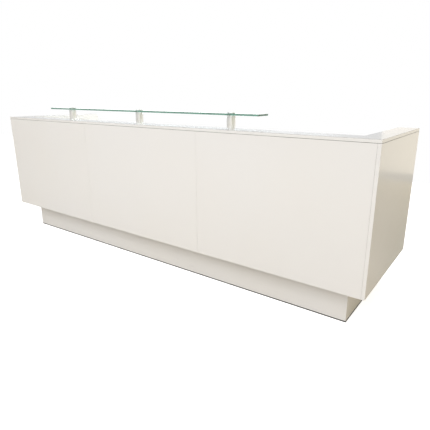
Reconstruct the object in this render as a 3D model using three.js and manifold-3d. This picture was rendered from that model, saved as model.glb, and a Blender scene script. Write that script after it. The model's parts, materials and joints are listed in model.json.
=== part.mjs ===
// White shop and reception counter: a thick U-shaped wall on a recessed plinth, with a glass shelf on
// three steel standoffs over the customer side, and a worktop, a cupboard and three drawers on the
// staff side. Millimetres, +Z up. The origin is on the floor, under the middle of the counter; the
// customer stands at -Y and the staff at +Y. "Left" is -X, "right" is +X.
import * as THREE from "three";
import { mergeVertices } from "three/addons/utils/BufferGeometryUtils.js";
import Module from "manifold-3d";

const wasm = await Module();
wasm.setup();

// ---- Driving dimensions ----
const LENGTH = 3200;
const DEPTH = 850;
const HOB_TOP = 1005; // top of the flat hob that runs round three sides
const HOB_BOARD = 16;
const BOARD = 18; // thickness of the wall boards
const TOUCH = 0.3; // gap left between boards that touch
const REVEAL = 2; // shadow line under the hob
const SEAM = 0.8; // joint between neighbouring front boards
const SEAM_X = [-527, 541]; // middles of the two joints in the front

const FRONT_WALL = 150; // thickness of the customer-side wall
const WING_WALL = 120; // thickness of each end wall
const PLINTH_HEIGHT = 220; // floor to the underside of the walls
const PLINTH_INSET = 115; // how far the plinth stands back from the walls
const PLINTH_BOARD = 16;
const FLOOR_GAP = 6; // the plinth boards hang clear of the floor

const WORKTOP_TOP = 750;
const WORKTOP_BOARD = 25;
const WORKTOP_EDGE_Y = 410;
const PEDESTAL_WIDTH = 600; // clear width inside the cupboard and the drawer unit
const FRONTS_Y = 390; // staff-side face of the door and drawer fronts
const FRONT_GAP = 3; // gap around the door and the drawer fronts

const GLASS_LENGTH = 1920;
const GLASS_DEPTH = 110;
const GLASS_BOARD = 10;
const GLASS_CORNER = 6;
const GLASS_HOLE_RADIUS = 8;
const SHELF_SETBACK = 65; // front edge of the hob to the line of the posts
const POST_HEIGHT = 80;
const POST_RADIUS = 25;
const POST_SPACING = 750;
const STUD_RADIUS = 5;
const CAP_HEIGHT = 5;
const CAP_RADIUS = 23;

const LEG_STUD_RADIUS = 5;
const LEG_X = 1420;
const LEG_INNER_X = 930;
const LEG_FRONT_Y = -240;
const LEG_REAR_Y = 290;

const CABLE_PORT_X = 560;
const CABLE_PORT_Y = -190;
const PORT_RADIUS = 30;
const PORT_REBATE_RADIUS = 40;
const PORT_REBATE_DEPTH = 4;

const PORT_DEPTH = 12; // how far a cap's spigot reaches below its rebate
const CAP_NOTCH = 18; // width of the cable notch
const CAP_NOTCH_START = 10; // from the middle of the cap

const HANDLE_HOLES = 160; // between the handle's two fixings
const HANDLE_REACH = 28;
const HANDLE_ROD = 5;
const DOOR_HANDLE_INSET = 45; // from the free edge of the door
const DOOR_HANDLE_DROP = 140; // from the top of the door to the middle of the handle
const DRAWER_HANDLE_DROP = 75; // the same on the top drawer, which has the lock above its handle

const CUPBOARD_SHELF_Z = 472; // underside
const CUPBOARD_SHELF_SLACK = 1; // at each end
const CUPBOARD_SHELF_SETBACK = 20;
const HINGE_INSET = 90; // from the end of the door to the middle of a hinge
const HINGE_HEIGHT = 64;
const HINGE_LEAF = 1.2;
const HINGE_LEAF_WIDTH = 50;
const KNUCKLE_RADIUS = 4.5;
const KNUCKLE_GAP = 0.5;
const HINGE_PIN_RADIUS = 2;
const HINGE_PIN_SLACK = 0.25;

const DRAWER_DEPTH = 500;
const DRAWER_FRONT_HEIGHTS = [140, 160, 194]; // top, middle, bottom; they fill the opening
const DRAWER_BOX_HEIGHTS = [90, 110, 140];
const DRAWER_BOX_LIFTS = [12, 12, 26]; // underside of each box above the low edge of its front
const CHANNEL_REACH = 12; // how far the runner channels stand out from the walls
const CHANNEL_SLACK = 1.5; // above and below the edge that runs in a channel
const RUNNER_SHEET = 1.5;
const RUNNER_INSET = 20; // the runner frames stop short of the opening, low and high
const BOX_WALL = 12;
const BOX_FLOOR = 8;
const BOX_FLOOR_REACH = 10; // how far the floor's long edges stand out past the walls
const BOX_SIDE_GAP = 14; // between a wall of the box and the wall of the cabinet

const LOCK_BARREL_RADIUS = 9.5;
const LOCK_NOSE_RADIUS = 12;
const LOCK_NOSE = 3;
const LOCK_Z = 697;
const LOCK_CAM_Y = 366; // rear face of the lock's cam
const LOCK_CAM = 2.5;
const LOCK_CAM_LENGTH = 33;
const LOCK_CAM_WIDTH = 14;
const KEYWAY = [2, 9]; // width and height
const MORTISE_DEPTH = 12;
const MORTISE_SLACK = 5; // around the cam
const MORTISE_REACH = 26; // from the lock's axis towards the end wall, where the cam swings in

const LEG_FOOT_RADIUS = 27;
const LEG_FOOT = 9;
const LEG_PILLAR_RADIUS = 15;
const LEG_HEXAGON_RADIUS = 21;
const LEG_HEXAGON_Z = [18, 42];
const LEG_HEAD_RADIUS = 30;
const LEG_HEAD = 6;
const LEG_SLEEVE = 60; // length of the wider sleeve under the head
const LEG_SLEEVE_WALL = 5;
const LEG_STUD_SHORT = 2; // the stud stops this far below the top of the deck

// ---- Planes and faces worked out from them ----
const HALF_LENGTH = LENGTH / 2;
const HALF_DEPTH = DEPTH / 2;
const HOB_UNDER = HOB_TOP - HOB_BOARD;
const PANEL_TOP = HOB_UNDER - REVEAL;
const DECK_TOP = PLINTH_HEIGHT + BOARD;
const FRONT_BACK_Y = -HALF_DEPTH + BOARD; // back of the front panels
const BAY_Y = -HALF_DEPTH + FRONT_WALL; // staff-side face of the customer wall
const BAY_X = HALF_LENGTH - WING_WALL; // inner face of each end wall
const GABLE_OUTER_X = BAY_X - PEDESTAL_WIDTH; // face towards the pedestal
const GABLE_INNER_X = GABLE_OUTER_X - BOARD; // face towards the kneehole
const CARCASS_Y = FRONTS_Y - BOARD - 2; // front edge of gables and decks
const WORKTOP_UNDER = WORKTOP_TOP - WORKTOP_BOARD;
const PLINTH_FRONT_Y = -HALF_DEPTH + PLINTH_INSET;
const PLINTH_SIDE_X = HALF_LENGTH - PLINTH_INSET;
const PLINTH_REAR_Y = 350;
const GLASS_UNDER = HOB_TOP + POST_HEIGHT;
const GLASS_TOP = GLASS_UNDER + GLASS_BOARD;
const SHELF_CENTRE_Y = -HALF_DEPTH + SHELF_SETBACK;
const FRONTS_LOW_Z = PLINTH_HEIGHT + 2;
const FRONTS_HIGH_Z = WORKTOP_UNDER - FRONT_GAP;
const FRONTS_INNER_X = GABLE_INNER_X + 2; // edge of the door and drawer fronts at the kneehole
const LOCK_X = (FRONTS_INNER_X + BAY_X - FRONT_GAP) / 2;
const DOOR_HINGE_EDGE_X = -BAY_X + 5;
const HINGE_AXIS_X = -BAY_X + 5.5;
const HINGE_AXIS_Y = FRONTS_Y + 5;

// ---- Materials ----
const material = (color, roughness, metalness = 0, extra = {}) =>
  new THREE.MeshStandardMaterial({ color, roughness, metalness, ...extra });
const whiteGloss = material(0xebe9e4, 0.28);
const plinthWhite = material(0xd9d7d1, 0.4);
const worktopWhite = material(0xe6e6e3, 0.45);
const drawerGrey = material(0xc9cacc, 0.5);
const zincSteel = material(0xaeb2b5, 0.4, 0.8);
const brushedSteel = material(0xb9bab8, 0.32, 0.9);
const blackPlastic = material(0x1d1d1f, 0.55);
const greyPlastic = material(0x9fa2a4, 0.5);
const greenGlass = material(0xa9cdbd, 0.05, 0, { transparent: true, opacity: 0.4 });

const counter = new THREE.Group();
counter.name = "checkout_counter";

// ---- Helpers ----
const SIDES = [
  { side: "left", sign: -1 },
  { side: "right", sign: 1 },
];

function place(name, geometry, finish, position = [0, 0, 0]) {
  const mesh = new THREE.Mesh(geometry, finish);
  mesh.name = name;
  mesh.position.set(...position);
  counter.add(mesh);
  return mesh;
}

// A box between two values on each axis, in any order.
function block([xa, xb], [ya, yb], [za, zb]) {
  const box = new THREE.BoxGeometry(Math.abs(xb - xa), Math.abs(yb - ya), Math.abs(zb - za));
  return box.translate((xa + xb) / 2, (ya + yb) / 2, (za + zb) / 2);
}

const board = (name, x, y, z, finish = whiteGloss) => place(name, block(x, y, z), finish);

// A flat plate cut to an outline in plan and extruded upwards from lowZ.
function planPlate(shape, lowZ, thickness, curveSegments = 12) {
  const settings = { depth: thickness, bevelEnabled: false, curveSegments };
  return new THREE.ExtrudeGeometry(shape, settings).translate(0, 0, lowZ);
}

// A flat plate cut to an outline in elevation (x, z) and extruded towards -Y from highY.
function elevationPlate(shape, highY, thickness) {
  const plate = new THREE.ExtrudeGeometry(shape, { depth: thickness, bevelEnabled: false });
  return plate.rotateX(Math.PI / 2).translate(0, highY, 0);
}

const LEG_SPOTS = [
  ["front", LEG_X, LEG_FRONT_Y],
  ["rear", LEG_X, LEG_REAR_Y],
  ["inner", LEG_INNER_X, LEG_REAR_Y],
];

const outline = (points) => new THREE.Shape(points.map(([x, y]) => new THREE.Vector2(x, y)));

// A body of revolution about +Z; the profile is [radius, height] pairs from the axis back to the axis.
function turned(profile, segments = 32) {
  const points = profile.map(([radius, height]) => new THREE.Vector2(radius, height));
  return new THREE.LatheGeometry(points, segments).rotateX(Math.PI / 2);
}

const cylinder = (radius, lowZ, highZ, segments = 32) =>
  turned([[0, lowZ], [radius, lowZ], [radius, highZ], [0, highZ]], segments);

function solid(geometry) {
  const bare = geometry.index ? geometry.toNonIndexed() : geometry.clone();
  bare.deleteAttribute("normal");
  bare.deleteAttribute("uv");
  const merged = mergeVertices(bare, 1e-3);
  const vertProperties = new Float32Array(merged.attributes.position.array);
  const triVerts = new Uint32Array(merged.index.array);
  return new wasm.Manifold(new wasm.Mesh({ numProp: 3, vertProperties, triVerts }));
}

function geometryOf(body) {
  const mesh = body.getMesh();
  const geometry = new THREE.BufferGeometry();
  geometry.setAttribute("position", new THREE.BufferAttribute(new Float32Array(mesh.vertProperties), 3));
  geometry.setIndex(new THREE.BufferAttribute(new Uint32Array(mesh.triVerts), 1));
  const faceted = geometry.toNonIndexed();
  faceted.computeVertexNormals();
  return faceted;
}

const joined = (...parts) => geometryOf(parts.map(solid).reduce((a, b) => a.add(b)));

const cut = (whole, ...tools) =>
  geometryOf(tools.map(solid).reduce((left, tool) => left.subtract(tool), solid(whole)));

// ---- Customer-side wall ----
function frontPanels() {
  const end = HALF_LENGTH - BOARD - SEAM / 2;
  const joints = [-end, ...SEAM_X, end];
  ["left", "centre", "right"].forEach((where, i) => {
    const x = [joints[i] + SEAM / 2, joints[i + 1] - SEAM / 2];
    board(`front_panel_${where}`, x, [-HALF_DEPTH, FRONT_BACK_Y], [PLINTH_HEIGHT, PANEL_TOP]);
  });
  SIDES.forEach(({ side }, i) => {
    const x = [SEAM_X[i] - BOARD / 2, SEAM_X[i] + BOARD / 2];
    const y = [FRONT_BACK_Y + TOUCH, BAY_Y - BOARD - TOUCH];
    board(`wall_rib_${side}`, x, y, [DECK_TOP + TOUCH, HOB_UNDER - TOUCH]);
  });
}

// Staff-side lining of the customer wall. It drops to the floor gap in the kneehole.
function liningFront() {
  const wide = BAY_X - TOUCH;
  const low = DECK_TOP + TOUCH;
  const high = HOB_UNDER - TOUCH;
  const shape = outline([
    [-wide, low],
    [-GABLE_OUTER_X, low],
    [-GABLE_OUTER_X, FLOOR_GAP],
    [GABLE_OUTER_X, FLOOR_GAP],
    [GABLE_OUTER_X, low],
    [wide, low],
    [wide, high],
    [-wide, high],
  ]);
  place("lining_front", elevationPlate(shape, BAY_Y, BOARD), whiteGloss);
}

// ---- End walls, each a hollow box ----
function endWalls() {
  for (const { side, sign } of SIDES) {
    const outer = [sign * (HALF_LENGTH - BOARD), sign * HALF_LENGTH];
    board(`side_panel_${side}`, outer, [-HALF_DEPTH, HALF_DEPTH], [PLINTH_HEIGHT, PANEL_TOP]);
    const lining = [sign * BAY_X, sign * (BAY_X + BOARD)];
    const liningY = [FRONT_BACK_Y + TOUCH, HALF_DEPTH - BOARD - TOUCH];
    board(`wing_lining_${side}`, lining, liningY, [DECK_TOP + TOUCH, HOB_UNDER - TOUCH]);
    const end = [sign * BAY_X, sign * (HALF_LENGTH - BOARD - TOUCH)];
    board(`wing_end_${side}`, end, [HALF_DEPTH - BOARD, HALF_DEPTH], [PLINTH_HEIGHT, HOB_UNDER - TOUCH]);
  }
}

// ---- Hob: one board over the customer wall and one over each end wall ----
function hob() {
  const thickness = [HOB_UNDER, HOB_TOP];
  const plank = block([-HALF_LENGTH, HALF_LENGTH], [-HALF_DEPTH, BAY_Y], thickness);
  const studHoles = postPositions().map(({ x }) =>
    cylinder(STUD_RADIUS + TOUCH, HOB_UNDER - 1, HOB_TOP + 1, 20).translate(x, SHELF_CENTRE_Y, 0),
  );
  place("hob_front", cut(plank, ...studHoles), whiteGloss);
  for (const { side, sign } of SIDES) {
    board(`hob_wing_${side}`, [sign * BAY_X, sign * HALF_LENGTH], [BAY_Y + TOUCH, HALF_DEPTH], thickness);
  }
}

// ---- Base decks, plinth and adjustable legs ----
function decks() {
  const outerX = HALF_LENGTH - BOARD - TOUCH;
  const frontY = FRONT_BACK_Y + TOUCH;
  for (const { side, sign } of SIDES) {
    const corners = [
      [GABLE_OUTER_X + TOUCH, frontY],
      [outerX, frontY],
      [outerX, HALF_DEPTH - BOARD - TOUCH],
      [BAY_X, HALF_DEPTH - BOARD - TOUCH],
      [BAY_X, CARCASS_Y],
      [GABLE_OUTER_X + TOUCH, CARCASS_Y],
    ];
    const plan = sign > 0 ? corners : corners.map(([x, y]) => [-x, y]).reverse();
    const plate = planPlate(outline(plan), PLINTH_HEIGHT, BOARD);
    const studHoles = LEG_SPOTS.map(([, x, y]) =>
      cylinder(LEG_STUD_RADIUS + TOUCH, PLINTH_HEIGHT - 1, DECK_TOP + 1, 20).translate(sign * x, y, 0));
    place(`base_deck_${side}`, cut(plate, ...studHoles), whiteGloss);
  }
  const centreX = [-GABLE_OUTER_X, GABLE_OUTER_X];
  board("base_deck_centre", centreX, [frontY, BAY_Y - BOARD - TOUCH], [PLINTH_HEIGHT, DECK_TOP]);
}

function plinth() {
  const z = [FLOOR_GAP, PLINTH_HEIGHT - TOUCH];
  const frontBackY = PLINTH_FRONT_Y + PLINTH_BOARD;
  const frontX = [-PLINTH_SIDE_X, PLINTH_SIDE_X];
  board("plinth_front", frontX, [PLINTH_FRONT_Y, frontBackY], z, plinthWhite);
  for (const { side, sign } of SIDES) {
    const innerX = PLINTH_SIDE_X - PLINTH_BOARD;
    const sideX = [sign * innerX, sign * PLINTH_SIDE_X];
    board(`plinth_side_${side}`, sideX, [frontBackY + TOUCH, PLINTH_REAR_Y], z, plinthWhite);
    const rearX = [sign * (GABLE_OUTER_X + TOUCH), sign * (innerX - TOUCH)];
    board(`plinth_rear_${side}`, rearX, [PLINTH_REAR_Y - PLINTH_BOARD, PLINTH_REAR_Y], z, plinthWhite);
  }
}

// A cabinet leg that screws up into its deck: a foot disc, a hexagon for turning it by, a pillar, a
// wide head and a stud.
function legs() {
  const edge = 2;
  const cone = 5;
  const shoulder = 8;
  const top = PLINTH_HEIGHT - TOUCH;
  const sleeveRadius = LEG_PILLAR_RADIUS + LEG_SLEEVE_WALL;
  const profile = [
    [0, 0],
    [LEG_FOOT_RADIUS - edge, 0],
    [LEG_FOOT_RADIUS, edge],
    [LEG_FOOT_RADIUS, LEG_FOOT],
    [LEG_PILLAR_RADIUS, LEG_FOOT + cone],
    [LEG_PILLAR_RADIUS, top - LEG_SLEEVE],
    [sleeveRadius, top - LEG_SLEEVE + shoulder],
    [sleeveRadius, top - LEG_HEAD],
    [LEG_HEAD_RADIUS, top - LEG_HEAD],
    [LEG_HEAD_RADIUS, top],
    [LEG_STUD_RADIUS, top],
    [LEG_STUD_RADIUS, top + BOARD - LEG_STUD_SHORT],
    [0, top + BOARD - LEG_STUD_SHORT],
  ];
  const hexagon = cylinder(LEG_HEXAGON_RADIUS, ...LEG_HEXAGON_Z, 6);
  const leg = joined(turned(profile, 28), hexagon);
  for (const { side, sign } of SIDES) {
    for (const [where, x, y] of LEG_SPOTS) {
      place(`leg_${where}_${side}`, leg.clone(), blackPlastic, [sign * x, y, 0]);
    }
  }
}

// ---- Worktop and the gables that carry it ----
function worktop() {
  const top = block(
    [-BAY_X + TOUCH, BAY_X - TOUCH],
    [BAY_Y + TOUCH, WORKTOP_EDGE_Y],
    [WORKTOP_UNDER, WORKTOP_TOP],
  );
  const ports = SIDES.flatMap(({ sign }) => [
    cylinder(PORT_RADIUS, WORKTOP_UNDER - 1, WORKTOP_TOP + 1),
    cylinder(PORT_REBATE_RADIUS, WORKTOP_TOP - PORT_REBATE_DEPTH, WORKTOP_TOP + 1, 40),
  ].map((tool) => tool.translate(sign * CABLE_PORT_X, CABLE_PORT_Y, 0)));
  const mortise = block(
    [LOCK_X - LOCK_CAM_WIDTH / 2 - MORTISE_SLACK, LOCK_X + MORTISE_REACH],
    [LOCK_CAM_Y - MORTISE_SLACK, LOCK_CAM_Y + LOCK_CAM + MORTISE_SLACK],
    [WORKTOP_UNDER - 1, WORKTOP_UNDER + MORTISE_DEPTH],
  );
  place("worktop", cut(top, ...ports, mortise), worktopWhite);
  for (const { side, sign } of SIDES) {
    const x = [sign * GABLE_INNER_X, sign * GABLE_OUTER_X];
    board(`gable_${side}`, x, [BAY_Y + TOUCH, CARCASS_Y], [FLOOR_GAP, WORKTOP_UNDER - TOUCH]);
  }
}

// A flush cap that lifts out of its rebate, with a notch for the cables.
function cableCaps() {
  const thickness = 2;
  const wall = 3;
  const top = PORT_REBATE_DEPTH - 0.5;
  const radius = PORT_REBATE_RADIUS - 0.5;
  const spigot = PORT_RADIUS - 2 * TOUCH;
  const profile = [
    [0, top - thickness],
    [spigot - wall, top - thickness],
    [spigot - wall, -PORT_DEPTH],
    [spigot, -PORT_DEPTH],
    [spigot, TOUCH],
    [radius, TOUCH],
    [radius, top],
    [0, top],
  ];
  const notchY = [CAP_NOTCH_START, PORT_REBATE_RADIUS + 1];
  const notch = block([-CAP_NOTCH / 2, CAP_NOTCH / 2], notchY, [-PORT_DEPTH - 1, top + 1]);
  const cap = cut(turned(profile, 40), notch);
  for (const { side, sign } of SIDES) {
    const position = [sign * CABLE_PORT_X, CABLE_PORT_Y, WORKTOP_TOP - PORT_REBATE_DEPTH];
    place(`cable_cap_${side}`, cap.clone(), greyPlastic, position);
  }
}

// ---- Glass shelf on three standoffs ----
function postPositions() {
  return [
    { where: "left", x: -POST_SPACING },
    { where: "centre", x: 0 },
    { where: "right", x: POST_SPACING },
  ];
}

function roundedRectangle(width, height, radius) {
  const [x, y] = [width / 2 - radius, height / 2 - radius];
  const shape = new THREE.Shape();
  shape.absarc(x, y, radius, 0, Math.PI / 2);
  shape.absarc(-x, y, radius, Math.PI / 2, Math.PI);
  shape.absarc(-x, -y, radius, Math.PI, 1.5 * Math.PI);
  shape.absarc(x, -y, radius, 1.5 * Math.PI, 2 * Math.PI);
  return shape;
}

function glassShelf() {
  const shape = roundedRectangle(GLASS_LENGTH, GLASS_DEPTH, GLASS_CORNER);
  for (const { x } of postPositions()) {
    shape.holes.push(new THREE.Path().absarc(x, 0, GLASS_HOLE_RADIUS, 0, 2 * Math.PI, true));
  }
  place("glass_shelf", planPlate(shape, 0, GLASS_BOARD), greenGlass, [0, SHELF_CENTRE_Y, GLASS_UNDER]);
}

// Each post has a stud into the hob and a bore for the cap's stud; the cap clamps the glass.
function standoffs() {
  const chamfer = 1;
  const bore = 30;
  const height = POST_HEIGHT - TOUCH;
  const post = turned([
    [0, -HOB_BOARD + 2],
    [STUD_RADIUS, -HOB_BOARD + 2],
    [STUD_RADIUS, TOUCH],
    [POST_RADIUS - chamfer, TOUCH],
    [POST_RADIUS, TOUCH + chamfer],
    [POST_RADIUS, height - chamfer],
    [POST_RADIUS - chamfer, height],
    [STUD_RADIUS + 0.5, height],
    [STUD_RADIUS + 0.5, height - bore],
    [0, height - bore],
  ], 48);
  const cap = turned([
    [0, -GLASS_BOARD - 20],
    [STUD_RADIUS, -GLASS_BOARD - 20],
    [STUD_RADIUS, TOUCH],
    [CAP_RADIUS, TOUCH],
    [CAP_RADIUS, CAP_HEIGHT - chamfer],
    [CAP_RADIUS - chamfer, CAP_HEIGHT],
    [0, CAP_HEIGHT],
  ], 48);
  for (const { where, x } of postPositions()) {
    place(`standoff_post_${where}`, post.clone(), brushedSteel, [x, SHELF_CENTRE_Y, HOB_TOP]);
    place(`standoff_cap_${where}`, cap.clone(), brushedSteel, [x, SHELF_CENTRE_Y, GLASS_TOP]);
  }
}

// ---- Handles: a bent steel rod with a foot at each end ----
// The rod lies in the XY plane, along X, and stands out towards +Y.
function handleGeometry() {
  const half = HANDLE_HOLES / 2;
  const bend = 12;
  const at = (x, y) => new THREE.Vector3(x, y, 0);
  const path = new THREE.CurvePath();
  path.add(new THREE.LineCurve3(at(-half, 0), at(-half, HANDLE_REACH - bend)));
  path.add(new THREE.QuadraticBezierCurve3(
    at(-half, HANDLE_REACH - bend), at(-half, HANDLE_REACH), at(-half + bend, HANDLE_REACH)));
  path.add(new THREE.LineCurve3(at(-half + bend, HANDLE_REACH), at(half - bend, HANDLE_REACH)));
  path.add(new THREE.QuadraticBezierCurve3(
    at(half - bend, HANDLE_REACH), at(half, HANDLE_REACH), at(half, HANDLE_REACH - bend)));
  path.add(new THREE.LineCurve3(at(half, HANDLE_REACH - bend), at(half, 0)));
  const section = new THREE.Shape().absarc(0, 0, HANDLE_ROD, 0, 2 * Math.PI);
  const rod = new THREE.ExtrudeGeometry(section, { steps: 44, curveSegments: 6, extrudePath: path });
  const rosettes = [-half, half].map((x) =>
    cylinder(HANDLE_ROD + 3, 0, 3, 16).rotateX(-Math.PI / 2).translate(x, 0, 0));
  return joined(rod, ...rosettes);
}

// ---- Cupboard ----
function cupboard() {
  const x = [DOOR_HINGE_EDGE_X, -FRONTS_INNER_X];
  board("cupboard_door", x, [FRONTS_Y - BOARD, FRONTS_Y], [FRONTS_LOW_Z, FRONTS_HIGH_Z]);
  const handle = place("cupboard_handle", handleGeometry(), brushedSteel);
  handle.rotation.y = Math.PI / 2;
  const handleX = -FRONTS_INNER_X - DOOR_HANDLE_INSET;
  handle.position.set(handleX, FRONTS_Y + TOUCH, FRONTS_HIGH_Z - DOOR_HANDLE_DROP);
  const shelfX = [-BAY_X + CUPBOARD_SHELF_SLACK, -GABLE_OUTER_X - CUPBOARD_SHELF_SLACK];
  const shelfY = [BAY_Y + 4 * CUPBOARD_SHELF_SLACK, CARCASS_Y - CUPBOARD_SHELF_SETBACK];
  board("cupboard_shelf", shelfX, shelfY, [CUPBOARD_SHELF_Z, CUPBOARD_SHELF_Z + BOARD]);
  doorHinge("upper", FRONTS_HIGH_Z - HINGE_INSET);
  doorHinge("lower", FRONTS_LOW_Z + HINGE_INSET);
}

// A butt hinge: the frame leaf carries the middle knuckle and the pin, the door leaf the outer two.
function doorHinge(where, middleZ) {
  const third = HINGE_HEIGHT / 3;
  const top = middleZ + HINGE_HEIGHT / 2;
  const low = middleZ - HINGE_HEIGHT / 2;
  const aroundAxis = (radius, from, to, segments) =>
    cylinder(radius, from, to, segments).translate(HINGE_AXIS_X, HINGE_AXIS_Y, 0);
  const clearY = [HINGE_AXIS_Y - KNUCKLE_RADIUS - 1, HINGE_AXIS_Y + KNUCKLE_RADIUS + 1];
  const middleZs = [low + third + KNUCKLE_GAP, top - third - KNUCKLE_GAP];

  const frameLeafX = [-BAY_X + TOUCH, -BAY_X + TOUCH + HINGE_LEAF];
  const frameLeaf = block(frameLeafX, [HINGE_AXIS_Y - HINGE_LEAF_WIDTH, HINGE_AXIS_Y], [low, top]);
  const slots = [[low - 1, middleZs[0]], [middleZs[1], top + 1]].map((z) =>
    block([-BAY_X - 1, HINGE_AXIS_X], clearY, z));
  const middle = aroundAxis(KNUCKLE_RADIUS, ...middleZs, 20);
  const pin = aroundAxis(HINGE_PIN_RADIUS, low - 1, top + 1, 16);
  place(`hinge_frame_leaf_${where}`, joined(cut(frameLeaf, ...slots), middle, pin), zincSteel);

  const doorLeafX = [DOOR_HINGE_EDGE_X - TOUCH - HINGE_LEAF, DOOR_HINGE_EDGE_X - TOUCH];
  const doorLeaf = block(doorLeafX, [FRONTS_Y - BOARD, HINGE_AXIS_Y - HINGE_PIN_RADIUS], [low, top]);
  const gap = block(
    [HINGE_AXIS_X - 2 * KNUCKLE_RADIUS, HINGE_AXIS_X + 2 * KNUCKLE_RADIUS],
    [FRONTS_Y, HINGE_AXIS_Y + 2 * KNUCKLE_RADIUS],
    [low + third - KNUCKLE_GAP, top - third + KNUCKLE_GAP],
  );
  const pinHole = aroundAxis(HINGE_PIN_RADIUS + HINGE_PIN_SLACK, low - 2, top + 2, 16);
  const outer = joined(doorLeaf, aroundAxis(KNUCKLE_RADIUS, low, top, 20));
  place(`hinge_door_leaf_${where}`, cut(outer, gap, pinHole), zincSteel);
}

// ---- Drawers ----
function drawerLevels() {
  let high = FRONTS_HIGH_Z;
  return DRAWER_FRONT_HEIGHTS.map((height, i) => {
    const low = high - height;
    const boxLow = low + DRAWER_BOX_LIFTS[i];
    const level = { number: i + 1, low, high, boxLow, boxHigh: boxLow + DRAWER_BOX_HEIGHTS[i] };
    high = low - FRONT_GAP;
    return level;
  });
}

function drawers() {
  for (const level of drawerLevels()) {
    drawerFront(level);
    drawerBox(level);
  }
  drawerLock();
  runnerFrames();
}

function drawerFront({ number, low, high }) {
  const x = [FRONTS_INNER_X, BAY_X - FRONT_GAP];
  const panel = block(x, [FRONTS_Y - BOARD, FRONTS_Y], [low, high]);
  const lockHole = cylinder(LOCK_BARREL_RADIUS + TOUCH, -50, 50, 28).rotateX(Math.PI / 2);
  const geometry = number === 1 ? cut(panel, lockHole.translate(LOCK_X, FRONTS_Y, LOCK_Z)) : panel;
  place(`drawer_front_${number}`, geometry, whiteGloss);
  const handleZ = number === 1 ? high - DRAWER_HANDLE_DROP : (low + high) / 2;
  place(`drawer_handle_${number}`, handleGeometry(), brushedSteel, [LOCK_X, FRONTS_Y + TOUCH, handleZ]);
}

// An open tray. The long edges of its floor stand out past the walls and run in the channels.
function drawerBox({ number, boxLow, boxHigh }) {
  const x = [GABLE_OUTER_X + BOX_SIDE_GAP, BAY_X - BOX_SIDE_GAP];
  const frontY = FRONTS_Y - BOARD - TOUCH;
  const y = [frontY - DRAWER_DEPTH, frontY];
  const floorTop = boxLow + BOX_FLOOR;
  const floor = block([x[0] - BOX_FLOOR_REACH, x[1] + BOX_FLOOR_REACH], y, [boxLow, floorTop]);
  const hollow = block(
    [x[0] + BOX_WALL, x[1] - BOX_WALL],
    [y[0] + BOX_WALL, y[1] - BOX_WALL],
    [floorTop, boxHigh + 1],
  );
  const tray = cut(joined(block(x, y, [boxLow, boxHigh]), floor), hollow);
  place(`drawer_box_${number}`, tray, drawerGrey);
}

// One pressed steel frame on each side of the drawer unit, with a channel for each drawer.
function runnerFrames() {
  const frameOutline = (wallX, inward) => {
    const across = (reach) => wallX + inward * reach;
    const near = across(TOUCH);
    const face = across(TOUCH + RUNNER_SHEET);
    const lip = across(CHANNEL_REACH);
    const points = [[near, FRONTS_LOW_Z + RUNNER_INSET], [face, FRONTS_LOW_Z + RUNNER_INSET]];
    for (const { boxLow } of drawerLevels().reverse()) {
      const channelLow = boxLow - CHANNEL_SLACK;
      const channelHigh = boxLow + BOX_FLOOR + CHANNEL_SLACK;
      for (const [from, to] of [
        [channelLow - RUNNER_SHEET, channelLow],
        [channelHigh, channelHigh + RUNNER_SHEET],
      ]) {
        points.push([face, from], [lip, from], [lip, to], [face, to]);
      }
    }
    points.push([face, FRONTS_HIGH_Z - RUNNER_INSET], [near, FRONTS_HIGH_Z - RUNNER_INSET]);
    return outline(points);
  };
  const frontY = CARCASS_Y - 2 * RUNNER_SHEET;
  const length = DRAWER_DEPTH - RUNNER_INSET;
  place("runner_frame_left", elevationPlate(frameOutline(GABLE_OUTER_X, 1), frontY, length), zincSteel);
  place("runner_frame_right", elevationPlate(frameOutline(BAY_X, -1), frontY, length), zincSteel);
}

// A cam lock: nose, barrel through the drawer front, and a cam that turns up into the worktop's mortise.
function drawerLock() {
  const along = (radius, nearY, farY, segments) =>
    cylinder(radius, -farY, -nearY, segments).rotateX(Math.PI / 2);
  const nose = along(LOCK_NOSE_RADIUS, FRONTS_Y + TOUCH, FRONTS_Y + LOCK_NOSE, 32);
  const barrel = along(LOCK_BARREL_RADIUS, LOCK_CAM_Y + 1, FRONTS_Y + 1, 28);
  const half = LOCK_CAM_WIDTH / 2;
  const cam = block([-half, LOCK_CAM_LENGTH], [LOCK_CAM_Y, LOCK_CAM_Y + LOCK_CAM], [-half, half]);
  const [slotWidth, slotHeight] = KEYWAY;
  const slotY = [FRONTS_Y - 1, FRONTS_Y + LOCK_NOSE + 1];
  const keyway = block([-slotWidth / 2, slotWidth / 2], slotY, [-slotHeight / 2, slotHeight / 2]);
  place("drawer_lock", cut(joined(nose, barrel, cam), keyway), brushedSteel, [LOCK_X, 0, LOCK_Z]);
}

frontPanels();
liningFront();
endWalls();
hob();
decks();
plinth();
legs();
worktop();
cableCaps();
glassShelf();
standoffs();
cupboard();
drawers();

export default counter;
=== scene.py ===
"""Looks for the checkout counter: materials, lights, camera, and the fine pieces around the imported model.

Everything is in metres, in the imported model's frame: the customer stands at -Y, the staff at +Y.
Every new mesh is built in place, so its Object coordinates are metres in that frame too.
"""
import json
import math

import bmesh
import bpy
from mathutils import Matrix, Vector


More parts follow.
